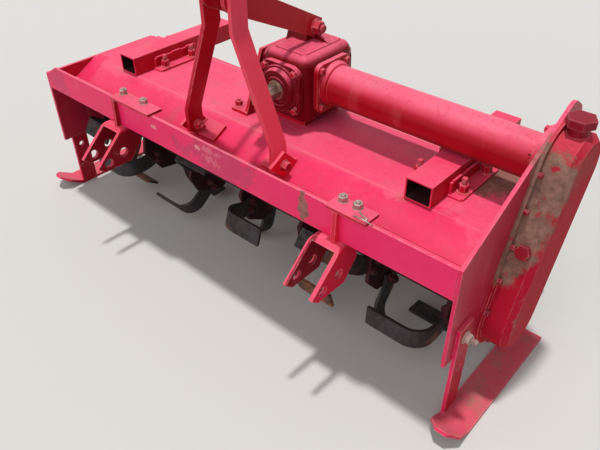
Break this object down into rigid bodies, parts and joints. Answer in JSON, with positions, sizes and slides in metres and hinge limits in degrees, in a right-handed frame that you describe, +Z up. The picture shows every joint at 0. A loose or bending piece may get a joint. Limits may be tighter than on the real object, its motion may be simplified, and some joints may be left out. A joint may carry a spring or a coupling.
{
  "type": "three-point-linkage rotary tiller",
  "caption": "Rotary tiller: a folded hood on end plates and skids, with an A-frame, a gearbox and side gear case that drive a tined rotor, and a rear levelling board.",
  "frame": {"origin": "middle of the footprint, on the ground under the skids", "axes": "+X to the machine's right, +Y to the rear, away from the tractor, +Z up"},
  "size_m": [1.4, 0.6046, 0.746],
  "materials": {
    "red_paint": "weathered gloss paint on sheet steel",
    "cast_paint": "weathered gloss paint on castings",
    "worn_paint": "paint worn by soil, with rust",
    "tine_steel": "rusted forged steel with worn edges",
    "shaft_steel": "bare machined steel, dull",
    "fastener_steel": "dull zinc plate"
  },
  "bodies": {
    "frame": {"hood_deck": "red_paint", "front_rail": "red_paint", "left_end_plate": "red_paint", "right_end_plate": "red_paint", "left_skid": "red_paint", "right_skid": "red_paint", "left_beam": "red_paint", "left_beam_feet": "red_paint", "left_clevis": "red_paint", "left_clamp_plate": "red_paint", "left_strut_foot": "red_paint", "left_strut": "red_paint", "left_mast_cheek": "red_paint", "right_beam": "red_paint", "right_beam_feet": "red_paint", "right_clevis": "red_paint", "right_clamp_plate": "red_paint", "right_strut_foot": "red_paint", "right_strut": "red_paint", "right_mast_cheek": "red_paint", "gearbox_housing": "cast_paint", "gearbox_cradle": "red_paint", "input_cover": "cast_paint", "drive_tube": "red_paint", "gear_case": "cast_paint", "filler_cap": "red_paint", "level_plug": "fastener_steel", "left_bearing": "cast_paint", "right_bearing": "cast_paint", "board_hinge": "red_paint"},
    "rotor": {"rotor_shaft": "worn_paint", "right_hand_tines": "tine_steel", "left_hand_tines": "tine_steel"},
    "input_shaft": {"pto_shaft": "shaft_steel"},
    "board": {"levelling_board": "red_paint"}
  },
  "joints": [
    {"name": "rotor_spin", "type": "hinge", "parent": "frame", "child": "rotor", "pos_m": [0, -0.0163, 0.184], "axis": [1, 0, 0], "continuous": true},
    {"name": "input_spin", "type": "hinge", "parent": "frame", "child": "input_shaft", "pos_m": [0.052, 0.0037, 0.467], "axis": [0, -1, 0], "continuous": true},
    {"name": "board_swing", "type": "hinge", "parent": "frame", "child": "board", "pos_m": [0, 0.1657, 0.358], "axis": [1, 0, 0], "range_deg": [0, 60]}
  ],
  "couplings": [
    {"joint": "input_spin", "follows": "rotor_spin", "ratio": 2.5714}
  ]
}
